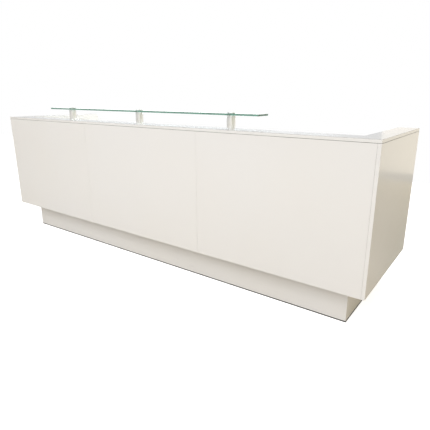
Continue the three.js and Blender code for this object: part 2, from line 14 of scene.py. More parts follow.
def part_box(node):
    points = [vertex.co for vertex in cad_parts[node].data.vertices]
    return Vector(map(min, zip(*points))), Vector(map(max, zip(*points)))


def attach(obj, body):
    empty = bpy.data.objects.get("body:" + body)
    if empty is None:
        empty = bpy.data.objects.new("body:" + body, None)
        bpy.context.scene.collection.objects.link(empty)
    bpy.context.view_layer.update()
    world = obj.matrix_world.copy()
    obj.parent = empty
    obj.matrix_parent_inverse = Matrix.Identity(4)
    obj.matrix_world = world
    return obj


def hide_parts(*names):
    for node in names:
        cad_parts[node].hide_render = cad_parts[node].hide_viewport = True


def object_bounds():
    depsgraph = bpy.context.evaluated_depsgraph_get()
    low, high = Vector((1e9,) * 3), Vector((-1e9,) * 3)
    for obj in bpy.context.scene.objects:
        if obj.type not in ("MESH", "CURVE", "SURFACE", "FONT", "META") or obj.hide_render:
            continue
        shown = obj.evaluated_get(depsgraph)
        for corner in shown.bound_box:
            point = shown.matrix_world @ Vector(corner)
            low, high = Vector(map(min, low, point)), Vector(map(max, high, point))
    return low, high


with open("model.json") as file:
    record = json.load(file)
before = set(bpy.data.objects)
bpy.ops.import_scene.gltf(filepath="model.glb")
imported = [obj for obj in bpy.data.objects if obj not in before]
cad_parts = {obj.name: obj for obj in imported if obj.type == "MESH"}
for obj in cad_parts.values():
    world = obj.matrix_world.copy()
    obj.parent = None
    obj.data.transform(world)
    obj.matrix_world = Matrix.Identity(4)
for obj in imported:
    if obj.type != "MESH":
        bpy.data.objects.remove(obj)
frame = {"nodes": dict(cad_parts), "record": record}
cad_low, cad_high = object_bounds()

MM = 0.001
X, Y, Z = Vector((1, 0, 0)), Vector((0, 1, 0)), Vector((0, 0, 1))
SIDES = (("left", -1), ("right", 1))

# ---- Camera ----
CAMERA_AZIMUTH = 35.529
CAMERA_ELEVATION = 15.781
CAMERA_ROLL = 0.228
CAMERA_PLACE = (2.0434, -2.2415, 1.1823)
CAMERA_LENS = 32.89
CAMERA_SENSOR = 36
CAMERA_SHIFT = (-0.0199, -0.0162)

# ---- Studio ----
WORLD_STRENGTH = 0.62
WORLD_SHADE = (0.84, 0.72, 0.36)  # what is left of the light that comes from +X
WORLD_SHADE_FROM, WORLD_SHADE_TO = 0.45, 0.9  # the X of a direction at which the shade starts and is full
FLOOR_HALF = 40
FLOOR_REAR = 3.9  # the floor ends here behind the counter; beyond it is the white studio
FLOOR_ROUGHNESS = 0.9
FLOOR_SEEN = (0.88, 0.88, 0.88)
FLOOR_GLOW = 0.66
FLOOR_BOUNCE = (0.68, 0.64, 0.57)
FLOOR_BOUNCE_REAR = (0.88, 0.82, 0.72)  # the same at the rear end of the floor
PLAIN, COOL, WARM, ROSY = (1, 1, 1), (0.86, 0.94, 1.0), (1.0, 0.87, 0.66), (1.0, 0.84, 0.77)
# Name, place, target, width and height, power in watts, colour.
AREA_LIGHTS = (
    ("key", (-0.1, -5.2, 4.6), (0, 0, 0.5), (5, 3), 216, PLAIN),
    ("fill_left_wing", (0.5, 1.2, 2.3), (-1.48, 0.2, 0.9), (2.0, 1.0), 48, COOL),
    ("fill_wing_end", (-0.85, 0.75, 1.6), (-1.48, 0.42, 0.95), (0.5, 0.4), 0.9, COOL),
    # What the upper half of the right side panel mirrors.
    ("rear_glow", (2.1, 4.0, 0.8), (2.1, 0, 0.8), (3.2, 1.4), 8.7, WARM),
    # What the steel posts mirror.
    ("front_glow", (3.6, -4.0, 1.6), (0, -0.3, 1.0), (3, 3), 14, PLAIN),
    # The light that the floor throws on the lower front of the right side panel.
    ("side_glow", (2.1, -0.52, 0.2), (1.6, -0.3, 0.35), (0.3, 0.4), 0.4, ROSY),
    # What the top face of the glass shelf mirrors.
    ("glass_strip", (-6.4, 5.5, 1.37), (-6.4, 0, 1.37), (9.5, 0.15), 4.4, PLAIN),
)


def add_camera():
    """The photograph's camera, as fitted to the counter's edges."""
    data = bpy.data.cameras.new("camera")
    data.lens = CAMERA_LENS
    data.sensor_width = CAMERA_SENSOR
    data.shift_x, data.shift_y = CAMERA_SHIFT
    camera = bpy.data.objects.new("camera", data)
    bpy.context.scene.collection.objects.link(camera)
    azimuth, elevation, roll = map(math.radians, (CAMERA_AZIMUTH, CAMERA_ELEVATION, CAMERA_ROLL))
    back = Vector((
        math.sin(azimuth) * math.cos(elevation),
        -math.cos(azimuth) * math.cos(elevation),
        math.sin(elevation),
    ))
    level = (-back).cross(Z).normalized()
    upward = level.cross(-back)
    right = level * math.cos(roll) + upward * math.sin(roll)
    up = upward * math.cos(roll) - level * math.sin(roll)
    turn = Matrix((right, up, back)).transposed().to_4x4()
    camera.matrix_world = Matrix.Translation(CAMERA_PLACE) @ turn
    bpy.context.scene.camera = camera


def add_area_light(name, place, target, size, power, color):
    """A rectangular soft light that the camera doesn't see, though glossy surfaces mirror it."""
    data = bpy.data.lights.new(name, "AREA")
    data.shape = "RECTANGLE"
    data.size, data.size_y = size
    data.energy = power
    data.color = color
    light = bpy.data.objects.new(name, data)
    light.location = place
    light.rotation_euler = (Vector(target) - Vector(place)).to_track_quat("-Z", "Y").to_euler()
    light.visible_camera = False
    bpy.context.scene.collection.objects.link(light)


def seen_rays(tree):
    """1 for what is seen directly or through the glass, 0 for what only lights the counter."""
    path = tree.nodes.new("ShaderNodeLightPath")
    either = tree.nodes.new("ShaderNodeMath")
    either.operation = "MAXIMUM"
    tree.links.new(path.outputs["Is Camera Ray"], either.inputs[0])
    tree.links.new(path.outputs["Is Transmission Ray"], either.inputs[1])
    return either.outputs[0]


def add_world():
    """A white studio, seen white; as a light it is dimmer and warmer from the right."""
    world = bpy.data.worlds.new("studio")
    bpy.context.scene.world = world
    world.use_nodes = True
    nodes, links = world.node_tree.nodes, world.node_tree.links
    nodes.clear()
    coords = nodes.new("ShaderNodeTexCoord")
    split = nodes.new("ShaderNodeSeparateXYZ")
    side = nodes.new("ShaderNodeMapRange")
    side.interpolation_type = "SMOOTHSTEP"
    side.inputs["From Min"].default_value = WORLD_SHADE_FROM
    side.inputs["From Max"].default_value = WORLD_SHADE_TO
    tint = nodes.new("ShaderNodeMix")
    tint.data_type = "RGBA"
    tint.inputs["A"].default_value = (1, 1, 1, 1)
    tint.inputs["B"].default_value = (*WORLD_SHADE, 1)
    studio = nodes.new("ShaderNodeBackground")
    studio.inputs["Strength"].default_value = WORLD_STRENGTH
    seen = nodes.new("ShaderNodeBackground")
    seen.inputs["Color"].default_value = (1, 1, 1, 1)
    mix = nodes.new("ShaderNodeMixShader")
    out = nodes.new("ShaderNodeOutputWorld")
    links.new(coords.outputs["Generated"], split.inputs[0])
    links.new(split.outputs["X"], side.inputs["Value"])
    links.new(side.outputs["Result"], tint.inputs["Factor"])
    links.new(tint.outputs["Result"], studio.inputs["Color"])
    links.new(seen_rays(world.node_tree), mix.inputs[0])
    links.new(studio.outputs[0], mix.inputs[1])
    links.new(seen.outputs[0], mix.inputs[2])
    links.new(mix.outputs[0], out.inputs["Surface"])


def add_floor():
    """A pale floor, seen nearly white; what it throws back on the counter is softer and warmer."""
    mesh = bpy.data.meshes.new("floor")
    corners = [
        (-FLOOR_HALF, -FLOOR_HALF, 0),
        (FLOOR_HALF, -FLOOR_HALF, 0),
        (FLOOR_HALF, FLOOR_REAR, 0),
        (-FLOOR_HALF, FLOOR_REAR, 0),
    ]
    mesh.from_pydata(corners, [], [(0, 1, 2, 3)])
    floor = bpy.data.objects.new("floor", mesh)
    bpy.context.scene.collection.objects.link(floor)
    material, bsdf = new_material("floor", FLOOR_SEEN, FLOOR_ROUGHNESS)
    bsdf.inputs["Emission Color"].default_value = (1, 1, 1, 1)
    bsdf.inputs["Emission Strength"].default_value = FLOOR_GLOW
    nodes, links = material.node_tree.nodes, material.node_tree.links
    bounce = nodes.new("ShaderNodeBsdfDiffuse")
    split = nodes.new("ShaderNodeSeparateXYZ")
    links.new(place_coords(material), split.inputs[0])
    rearward = spread(material, split.outputs["Y"], 0, 1, 2 * cad_high[1], FLOOR_REAR)
    links.new(blend_colors(material, rearward, FLOOR_BOUNCE, FLOOR_BOUNCE_REAR), bounce.inputs["Color"])
    mix = nodes.new("ShaderNodeMixShader")
    links.new(seen_rays(material.node_tree), mix.inputs[0])
    links.new(bounce.outputs[0], mix.inputs[1])
    links.new(bsdf.outputs[0], mix.inputs[2])
    links.new(mix.outputs[0], nodes["Material Output"].inputs["Surface"])
    floor.data.materials.append(material)


# ---- Materials ----
def new_material(name, color, roughness, metallic=0.0):
    """A material and its Principled shader, with these values on the shader's own sockets."""
    material = bpy.data.materials.new(name)
    material.use_nodes = True
    bsdf = material.node_tree.nodes["Principled BSDF"]
    bsdf.inputs["Base Color"].default_value = (*color, 1)
    bsdf.inputs["Roughness"].default_value = roughness
    bsdf.inputs["Metallic"].default_value = metallic
    return material, bsdf


def place_coords(material, stretch=(1, 1, 1)):
    """Object coordinates in metres, stretched along each axis."""
    nodes, links = material.node_tree.nodes, material.node_tree.links
    coords = nodes.new("ShaderNodeTexCoord")
    mapping = nodes.new("ShaderNodeMapping")
    mapping.inputs["Scale"].default_value = stretch
    links.new(coords.outputs["Object"], mapping.inputs["Vector"])
    return mapping.outputs["Vector"]


def noise(material, vector, scale, detail=2.0, roughness=0.5):
    """A noise texture's value, mostly between 0.3 and 0.7."""
    nodes, links = material.node_tree.nodes, material.node_tree.links
    texture = nodes.new("ShaderNodeTexNoise")
    texture.inputs["Scale"].default_value = scale
    texture.inputs["Detail"].default_value = detail
    texture.inputs["Roughness"].default_value = roughness
    links.new(vector, texture.inputs["Vector"])
    return texture.outputs["Fac"]


def spread(material, value, low, high, start=0.3, end=0.7):
    """A value that runs from start to end, mapped to run from low to high."""
    nodes, links = material.node_tree.nodes, material.node_tree.links
    node = nodes.new("ShaderNodeMapRange")
    node.inputs["From Min"].default_value = start
    node.inputs["From Max"].default_value = end
    node.inputs["To Min"].default_value = low
    node.inputs["To Max"].default_value = high
    links.new(value, node.inputs["Value"])
    return node.outputs["Result"]


def blend_colors(material, factor, color_a, color_b):
    """Either colour may be a value or the output of another node."""
    nodes, links = material.node_tree.nodes, material.node_tree.links
    node = nodes.new("ShaderNodeMix")
    node.data_type = "RGBA"
    for socket, color in (("A", color_a), ("B", color_b)):
        if isinstance(color, tuple):
            node.inputs[socket].default_value = (*color, 1)
        else:
            links.new(color, node.inputs[socket])
    links.new(factor, node.inputs["Factor"])
    return node.outputs["Result"]


def add_bump(material, bsdf, height, depth, strength):
    """Relief on the surface; depth is in metres."""
    nodes, links = material.node_tree.nodes, material.node_tree.links
    node = nodes.new("ShaderNodeBump")
    node.inputs["Distance"].default_value = depth
    node.inputs["Strength"].default_value = strength
    links.new(height, node.inputs["Height"])
    links.new(node.outputs["Normal"], bsdf.inputs["Normal"])


def scaled(color, factor):
    """The colour, lighter or darker, and never over 1."""
    return tuple(min(1, factor * c) for c in color)


# Noise scales are in cycles per metre. A range is what spread takes: low, high, start, end.
DRIFT_SCALE = 1.4
DRIFT_TINT = (1, 0.992, 0.975)  # what the warmer places have of the board's colour
SPECKLE_SCALE, SPECKLE_DARK = 1500, 0.93
SPECKLE_RANGE = (0, 0.5, 0.6, 0.8)
SMEAR_STRETCH = (3, 3, 11)
SMEAR_DULLER, SMEAR_GLOSSIER = 0.012, 0.008
SCUFF_STRETCH, SCUFF_DARK = (9, 9, 60), 0.86
SCUFF_RANGE = (0, 0.7, 0.58, 0.75)
PEEL_SCALE, PEEL_STRENGTH = 380, 0.3
COAT_ROUGHNESS = 0.1


def laminate(name, color, roughness, coat, peel_depth, scuff_height=0.0):
    """Laminated board: a slow drift of tint, fine speckle, wiped-on smears in the gloss and a faint peel.

    scuff_height is how far up from the floor it carries the dark marks of shoes and mops.
    """
    material, bsdf = new_material(name, color, roughness)
    links = material.node_tree.links
    coords = place_coords(material)
    warmer = tuple(share * c for share, c in zip(DRIFT_TINT, color))
    drift = spread(material, noise(material, coords, DRIFT_SCALE, detail=1.0), 0, 1)
    tint = blend_colors(material, drift, color, warmer)
    speckle = spread(material, noise(material, coords, SPECKLE_SCALE, detail=1.0), *SPECKLE_RANGE)
    tint = blend_colors(material, speckle, tint, scaled(color, SPECKLE_DARK))
    smears = noise(material, place_coords(material, SMEAR_STRETCH), 2.0, detail=4.0, roughness=0.6)
    gloss = spread(material, smears, roughness - SMEAR_GLOSSIER, roughness + SMEAR_DULLER)
    if scuff_height:
        nodes = material.node_tree.nodes
        split = nodes.new("ShaderNodeSeparateXYZ")
        links.new(coords, split.inputs[0])
        low_down = spread(material, split.outputs["Z"], 1, 0, 0, scuff_height)
        streaks = noise(material, place_coords(material, SCUFF_STRETCH), 1.0, detail=5.0, roughness=0.7)
        marks = spread(material, streaks, *SCUFF_RANGE)
        both = nodes.new("ShaderNodeMath")
        both.operation = "MULTIPLY"
        both.use_clamp = True
        links.new(low_down, both.inputs[0])
        links.new(marks, both.inputs[1])
        tint = blend_colors(material, both.outputs[0], tint, scaled(color, SCUFF_DARK))
    links.new(tint, bsdf.inputs["Base Color"])
    links.new(gloss, bsdf.inputs["Roughness"])
    add_bump(material, bsdf, noise(material, coords, PEEL_SCALE), peel_depth, PEEL_STRENGTH)
    bsdf.inputs["Coat Weight"].default_value = coat
    bsdf.inputs["Coat Roughness"].default_value = COAT_ROUGHNESS
    return material


BRUSH_DARK, BRUSH_LIGHT = 0.95, 1.04
BRUSH_DULLER, BRUSH_GLOSSIER = 0.04, 0.03
BRUSH_DEPTH, BRUSH_STRENGTH = 0.03 * MM, 0.3
ANISOTROPY = 0.4
FINGERMARK_SCALE = 60
FINGERMARK_RANGE = (0, 0.06, 0.5, 0.75)


def brushed_metal(name, color, roughness, stretch):
    """Fine brushing: streaks that are long where the stretch is small, and faint fingermarks."""
    material, bsdf = new_material(name, color, roughness, metallic=1.0)
    links = material.node_tree.links
    streaks = noise(material, place_coords(material, stretch), 1.0, detail=3.0, roughness=0.7)
    fingermarks = noise(material, place_coords(material), FINGERMARK_SCALE)
    marks = spread(material, fingermarks, *FINGERMARK_RANGE)
    bsdf.inputs["Anisotropic"].default_value = ANISOTROPY
    worn = material.node_tree.nodes.new("ShaderNodeMath")
    brushing = spread(material, streaks, roughness - BRUSH_GLOSSIER, roughness + BRUSH_DULLER)
    links.new(brushing, worn.inputs[0])
    links.new(marks, worn.inputs[1])
    links.new(worn.outputs[0], bsdf.inputs["Roughness"])
    tint = blend_colors(material, streaks, scaled(color, BRUSH_DARK), scaled(color, BRUSH_LIGHT))
    links.new(tint, bsdf.inputs["Base Color"])
    add_bump(material, bsdf, streaks, BRUSH_DEPTH, BRUSH_STRENGTH)
    return material


GRAIN_SCALE, GRAIN_DEPTH, GRAIN_STRENGTH = 900, 0.05 * MM, 0.35
PATCH_SCALE = 40
PATCH_LIGHT, PATCH_LIFT = 1.2, 0.004
PATCH_DULLER, PATCH_GLOSSIER = 0.08, 0.06


def moulded_plastic(name, color, roughness):
    """Plastic with a fine grain and faint lighter, duller patches."""
    material, bsdf = new_material(name, color, roughness)
    links = material.node_tree.links
    coords = place_coords(material)
    grain = noise(material, coords, GRAIN_SCALE, detail=3.0)
    patches = noise(material, coords, PATCH_SCALE)
    lighter = tuple(min(1, PATCH_LIGHT * c + PATCH_LIFT) for c in color)
    links.new(blend_colors(material, patches, color, lighter), bsdf.inputs["Base Color"])
    gloss = spread(material, patches, roughness - PATCH_GLOSSIER, roughness + PATCH_DULLER)
    links.new(gloss, bsdf.inputs["Roughness"])
    add_bump(material, bsdf, grain, GRAIN_DEPTH, GRAIN_STRENGTH)
    return material


GLASS_FACE = (0.95, 0.985, 0.975)
GLASS_EDGE = (0.31, 0.48, 0.42)
GLASS_EDGE_CLEARNESS = 0.62  # how much of the light passes a ground edge
GLASS_TINT = (0.30, 0.62, 0.54)
GLASS_DENSITY = 14.0
GLASS_IOR = 1.52
GLASS_SPECULAR = 0.25
FACE_FROM, FACE_TO = 0.2, 0.9  # the Z of a normal at which an edge ends and a face starts
WIPE_SCALE, WIPE_ROUGHNESS = 25, 0.02


def clear_glass(name):
    """Float glass: almost clear through its thickness, deep grey-green along it, with ground edges."""
    material, bsdf = new_material(name, GLASS_FACE, 0.0)
    nodes, links = material.node_tree.nodes, material.node_tree.links
    bsdf.inputs["IOR"].default_value = GLASS_IOR
    bsdf.inputs["Specular IOR Level"].default_value = GLASS_SPECULAR
    geometry = nodes.new("ShaderNodeNewGeometry")
    split = nodes.new("ShaderNodeSeparateXYZ")
    size = nodes.new("ShaderNodeMath")
    size.operation = "ABSOLUTE"
    links.new(geometry.outputs["True Normal"], split.inputs[0])
    links.new(split.outputs["Z"], size.inputs[0])
    flat = spread(material, size.outputs[0], 0, 1, FACE_FROM, FACE_TO)
    links.new(blend_colors(material, flat, GLASS_EDGE, GLASS_FACE), bsdf.inputs["Base Color"])
    clearness = spread(material, flat, GLASS_EDGE_CLEARNESS, 1.0, 0, 1)
    links.new(clearness, bsdf.inputs["Transmission Weight"])
    wiping = noise(material, place_coords(material), WIPE_SCALE, detail=3.0)
    links.new(spread(material, wiping, 0.0, WIPE_ROUGHNESS), bsdf.inputs["Roughness"])
    absorb = nodes.new("ShaderNodeVolumeAbsorption")
    absorb.inputs["Color"].default_value = (*GLASS_TINT, 1)
    absorb.inputs["Density"].default_value = GLASS_DENSITY
    links.new(absorb.outputs["Volume"], nodes["Material Output"].inputs["Volume"])
    return material


# Laminates: colour, roughness, coat, depth of the peel. Metals: colour, roughness, stretch of the
# brushing. Plastics: colour, roughness.
WHITE = laminate("white_laminate", (0.80, 0.79, 0.79), 0.24, 0.35, 0.01 * MM)
PLINTH = laminate("plinth_laminate", (0.77, 0.76, 0.755), 0.34, 0.15, 0.04 * MM, scuff_height=0.12)
WORKTOP = laminate("worktop_laminate", (0.58, 0.58, 0.57), 0.58, 0.0, 0.3 * MM)
DRAWER = laminate("drawer_laminate", (0.60, 0.61, 0.61), 0.45, 0.0, 0.2 * MM)
STEEL = brushed_metal("brushed_steel", (0.97, 0.97, 0.96), 0.42, (30, 30, 2600))
ZINC = brushed_metal("zinc_steel", (0.62, 0.64, 0.66), 0.36, (300, 60, 300))
BLACK = moulded_plastic("black_plastic", (0.018, 0.018, 0.019), 0.5)
GREY = moulded_plastic("grey_plastic", (0.38, 0.39, 0.40), 0.45)
GLASS = clear_glass("clear_glass")
FILLER = moulded_plastic("white_filler", (0.52, 0.515, 0.50), 0.6)
WHITE_CAP = moulded_plastic("white_plastic", (0.80, 0.79, 0.78), 0.45)
# Painted shade: the dark grey of the strip that darkens the shadow line under the hob; the hob's fine edge
# line uses it too.
SHADOW = moulded_plastic("shadow_line_grey", (0.18, 0.18, 0.175), 0.7)
CLEAR_SOFT = moulded_plastic("frosted_plastic", (0.72, 0.73, 0.73), 0.3)

SLOT_MATERIALS = {
    "white_laminate": WHITE,
    "plinth_laminate": PLINTH,
    "worktop_laminate": WORKTOP,
    "drawer_laminate": DRAWER,
    "clear_glass": GLASS,
    "brushed_steel": STEEL,
    "zinc_steel": ZINC,
    "black_plastic": BLACK,
    "grey_plastic": GREY,
}


# ---- Mesh helpers, in the frame's metres ----
TURN_SEGMENTS = 48
ROD_SEGMENTS = 28
RIM_SEGMENTS = 32
SHARP_ANGLE = math.radians(35)


def millimetres(profile):
    """A profile of (radius, height) pairs written in millimetres, in metres."""
    return [(radius * MM, height * MM) for radius, height in profile]


def circle_angles(steps):
    """The angles of equal steps around a full turn."""
    return [2 * math.pi * i / steps for i in range(steps)]


def facing(place, axis):
    """The placement whose +Z looks along axis from place."""
    return Matrix.Translation(place) @ axis.to_track_quat("Z", "Y").to_matrix().to_4x4()


def link_rings(mesh, rings, closed=False):
    """Faces between neighbouring rings of points; a ring may be one point on the axis."""
    pairs = list(zip(rings, rings[1:])) + ([(rings[-1], rings[0])] if closed else [])
    for low, high in pairs:
        count = max(len(low), len(high))
        for i in range(count):
            j = (i + 1) % count
            corners = [low[i % len(low)], low[j % len(low)], high[j % len(high)], high[i % len(high)]]
            mesh.faces.new(list(dict.fromkeys(corners)))


def turned(mesh, profile, place, axis=Z, closed=False, segments=TURN_SEGMENTS):
    """A body of revolution about axis; profile is (radius, height) pairs, in metres."""
    matrix = facing(place, axis)
    rings = []
    for radius, height in profile:
        angles = circle_angles(segments) if radius else [0]
        points = [Vector((radius * math.cos(a), radius * math.sin(a), height)) for a in angles]
        rings.append([mesh.verts.new(matrix @ point) for point in points])
    link_rings(mesh, rings, closed)


def rod(mesh, path, radius, plane_normal):
    """A round rod along a path that lies in one plane, closed at both ends."""
    rings = []
    for i, point in enumerate(path):
        tangent = (path[min(i + 1, len(path) - 1)] - path[max(i - 1, 0)]).normalized()
        across = tangent.cross(plane_normal)
        rings.append([
            mesh.verts.new(point + radius * (math.cos(a) * plane_normal + math.sin(a) * across))
            for a in circle_angles(ROD_SEGMENTS)
        ])
    link_rings(mesh, rings)
    mesh.faces.new(rings[0])
    mesh.faces.new(rings[-1])


def slab(mesh, low, high, edge, segments=2):
    """A strip or block between two corners, with every edge rounded off."""
    size = [b - a for a, b in zip(low, high)]
    middle = [(a + b) / 2 for a, b in zip(low, high)]
    matrix = Matrix.Translation(middle) @ Matrix.Diagonal((*size, 1))
    made = bmesh.ops.create_cube(mesh, size=1, matrix=matrix)
    edges = list({e for v in made["verts"] for e in v.link_edges})
    bmesh.ops.bevel(mesh, geom=edges, offset=edge, segments=segments, profile=0.5, affect="EDGES")


# In radii of the head: the dome's (radius, height) pairs from rim to crown, and the cross recess.
SCREW_DOME = ((1, 0), (0.97, 0.1), (0.86, 0.26), (0.68, 0.36))
CROSS_DEPTH, CROSS_ARM, CROSS_HALF = 0.3, 0.52, 0.12


def screw_head(mesh, place, axis, radius):
    """A raised head with a cross recess, standing on a surface that looks along axis."""
    matrix = facing(place, axis)
    rise, depth = SCREW_DOME[-1][1] * radius, CROSS_DEPTH * radius
    arm, half = CROSS_ARM * radius, CROSS_HALF * radius

    def ring(points, height):
        return [mesh.verts.new(matrix @ Vector((x, y, height))) for x, y in points]

    def circle(size):
        return [(size * math.cos(a), size * math.sin(a)) for a in circle_angles(RIM_SEGMENTS)]

    def edges_round(points):
        """The edges of a closed ring, made where there are none yet."""
        pairs = zip(points, points[1:] + points[:1])
        return [mesh.edges.get(pair) or mesh.edges.new(pair) for pair in pairs]

    shell = [ring(circle(size * radius), height * radius) for size, height in SCREW_DOME]
    link_rings(mesh, shell)
    mesh.faces.new(shell[0])
    cross = []
    for turn in range(4):
        for x, y in ((arm, -half), (arm, half), (half, half)):
            for _ in range(turn):
                x, y = -y, x
            cross.append((x, y))
    brim, pit = ring(cross, rise), ring(cross, rise - depth)
    bmesh.ops.triangle_fill(mesh, use_beauty=True, edges=edges_round(shell[-1]) + edges_round(brim))
    link_rings(mesh, [brim, pit])
    mesh.faces.new(pit)


def add_piece(name, mesh, material, body, replaces=()):
    """Makes the mesh a visible piece that rides on a body, in place of the CAD nodes it replaces."""
    bmesh.ops.recalc_face_normals(mesh, faces=mesh.faces)
    data = bpy.data.meshes.new(name)
    mesh.to_mesh(data)
    mesh.free()
    data.shade_smooth()
    data.set_sharp_from_angle(angle=SHARP_ANGLE)
    data.materials.append(material)
    piece = bpy.data.objects.new(name, data)
    bpy.context.scene.collection.objects.link(piece)
    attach(piece, body)
    if replaces:
        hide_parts(*replaces)


def add_screws(name, body, axis, radius, places):
    """One piece of screw heads that all look along axis."""
    mesh = bmesh.new()
    for place in places:
        screw_head(mesh, place, axis, radius)
    add_piece(name, mesh, ZINC, body)


# ---- CAD nodes: materials and softened edges ----
EDGE_RADIUS = {
    "white_laminate": 0.6 * MM,
    "plinth_laminate": 0.6 * MM,
    "worktop_laminate": 0.8 * MM,
    "drawer_laminate": 1.0 * MM,
    "clear_glass": 0.7 * MM,
    "grey_plastic": 0.5 * MM,
}
METAL_EDGE_RADIUS = 0.25 * MM
EDGE_SEGMENTS = 3
WELD_DISTANCE = 0.01 * MM


def soften(node, radius):
    """Rounds the node's sharp edges with modifiers; its mesh stays as packed."""
    weld = node.modifiers.new("weld", "WELD")
    weld.merge_threshold = WELD_DISTANCE
    bevel = node.modifiers.new("edges", "BEVEL")
    bevel.width = radius
    bevel.segments = EDGE_SEGMENTS
    bevel.limit_method = "ANGLE"
    bevel.angle_limit = SHARP_ANGLE
    node.modifiers.new("normals", "WEIGHTED_NORMAL")


def dress_cad_nodes():
    """Gives every CAD node the material of its slot, and softened edges."""
    for row in frame["record"]["subparts"]:
        node, slot = frame["nodes"][row["node"]], row["material_slot"]
        node.data.materials.clear()
        node.data.materials.append(SLOT_MATERIALS[slot])
        soften(node, EDGE_RADIUS.get(slot, METAL_EDGE_RADIUS))


# ---- Joints between boards ----
SEAM_SETBACK = 1.6 * MM  # how far the filler lies behind the customer face
SHADOW_STRIP_SETBACK = 1.4 * MM  # how far the painted shadow strip lies behind the hob's edge
SHADOW_STRIP_LIP = 1.5 * MM  # how far the painted shadow strip stands out in front of the plinth
SHADOW_STRIP_THICKNESS = 9 * MM
SHADOW_STRIP_CLEAR = 0.2 * MM  # its gap to the floor, and the rounding of its edges
BAND_THICKNESS = 1.0 * MM
BAND_ROUNDING = 0.4 * MM
BAND_SLACK = 0.2 * MM  # how much shorter the worktop's edging is at each end
HAIR = 0.05 * MM  # keeps a filler clear of the board beside it


def add_seam_filler(name, left_node, right_node):
    """White filler in the joint between two boards of the customer face."""
    (_, face, low), (left_x, back, _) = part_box(left_node)
    right_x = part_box(right_node)[0][0]
    (_, other_face, _), (_, other_back, high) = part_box(right_node)
    mesh = bmesh.new()
    slab(
        mesh,
        (left_x + HAIR, max(face, other_face) + SEAM_SETBACK, low),
        (right_x - HAIR, min(back, other_back), high),
        HAIR,
    )
    add_piece(name, mesh, FILLER, "carcass")


def add_hob_shadow_strip():
    """Painted shadow: a dark grey strip that fills the shadow line between the walls and the hob, on three
    sides.
    """
    hob_low, hob_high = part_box("hob_front")
    low_z, high_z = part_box("front_panel_centre")[1][2] + HAIR, hob_low[2] - HAIR
    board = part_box("front_panel_centre")[1][1] - hob_low[1]
    inset = SHADOW_STRIP_SETBACK
    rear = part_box("side_panel_left")[1][1] - inset
    mesh = bmesh.new()
    slab(
        mesh,
        (hob_low[0] + inset, hob_low[1] + inset, low_z),
        (hob_high[0] - inset, hob_low[1] + board, high_z),
        HAIR,
    )
    for sign in (-1, 1):
        outer, inner = sign * (hob_high[0] - inset), sign * (hob_high[0] - board)
        slab(
            mesh,
            (min(outer, inner), hob_low[1] + board + HAIR, low_z),
            (max(outer, inner), rear, high_z),
            HAIR,
        )
    add_piece("hob_shadow_strip", mesh, SHADOW, "carcass")


def add_hob_edge_line():
    """A fine dark line along the hob's upper outer edges."""
    (left, front, _), (right, _, top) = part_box("hob_front")
    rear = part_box("hob_wing_left")[1][1]
    wide = EDGE_RADIUS["white_laminate"]
    mesh = bmesh.new()
    slab(mesh, (left, front, top - wide), (right, front + wide, top), HAIR)
    for outer, inner in ((left, left + wide), (right, right - wide)):
        slab(
            mesh,
            (min(outer, inner), front + wide, top - wide),
            (max(outer, inner), rear, top),
            HAIR,
        )
    add_piece("hob_edge_line", mesh, SHADOW, "carcass")


def add_plinth_shadow_strip():
    """Painted shadow: a black strip that stands in for the dark gap between the plinth boards and the
    floor.
    """
    mesh = bmesh.new()
    front_low, front_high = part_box("plinth_front")
    top = front_low[2] - HAIR
    slab(
        mesh,
        (front_low[0] - SHADOW_STRIP_LIP, front_low[1] - SHADOW_STRIP_LIP, SHADOW_STRIP_CLEAR),
        (front_high[0] + SHADOW_STRIP_LIP, front_low[1] - SHADOW_STRIP_LIP + SHADOW_STRIP_THICKNESS, top),
        SHADOW_STRIP_CLEAR,
    )
    for side, sign in SIDES:
        low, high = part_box(f"plinth_side_{side}")
        outer = sign * (front_high[0] + SHADOW_STRIP_LIP)
        inner = outer - sign * SHADOW_STRIP_THICKNESS
        slab(
            mesh,
            (min(outer, inner), front_low[1] - SHADOW_STRIP_LIP + SHADOW_STRIP_THICKNESS, SHADOW_STRIP_CLEAR),
            (max(outer, inner), high[1], top),
            SHADOW_STRIP_CLEAR,
        )
    add_piece("plinth_shadow_strip", mesh, BLACK, "carcass")


def add_worktop_edge_band():
    """Plastic edging along the staff side of the worktop."""
    low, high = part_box("worktop")
    mesh = bmesh.new()
    slab(
        mesh,
        (low[0] + BAND_SLACK, high[1], low[2]),
        (high[0] - BAND_SLACK, high[1] + BAND_THICKNESS, high[2]),
        BAND_ROUNDING,
        segments=3,
    )
    add_piece("worktop_edge_band", mesh, WORKTOP, "carcass")


# ---- Glass shelf standoffs ----
POST_ROUNDING = 1.2 * MM
POST_SEGMENTS = 96
STUD_RADIUS = 5 * MM
SLEEVE_RADIUS = 7.6 * MM  # the plastic sleeve between the stud and the glass
GASKET = 0.3 * MM
GASKET_INSET = 1.5 * MM
ROUNDING_STEPS = 4


def rounded_disc(radius, low, high, rounding):
    """Profile of a disc whose rims are rounded, from the axis back to the axis."""
    quarter = [math.pi / 2 * i / ROUNDING_STEPS for i in range(ROUNDING_STEPS + 1)]
    rim = radius - rounding
    lower = [(rim + rounding * math.sin(a), low + rounding - rounding * math.cos(a)) for a in quarter]
    upper = [(rim + rounding * math.cos(a), high - rounding + rounding * math.sin(a)) for a in quarter]
    return [(0, low), *lower, *upper, (0, high)]


def washer(inner, outer, low, high):
    """Profile of a flat ring."""
    return [(inner, low), (outer, low), (outer, high), (inner, high)]


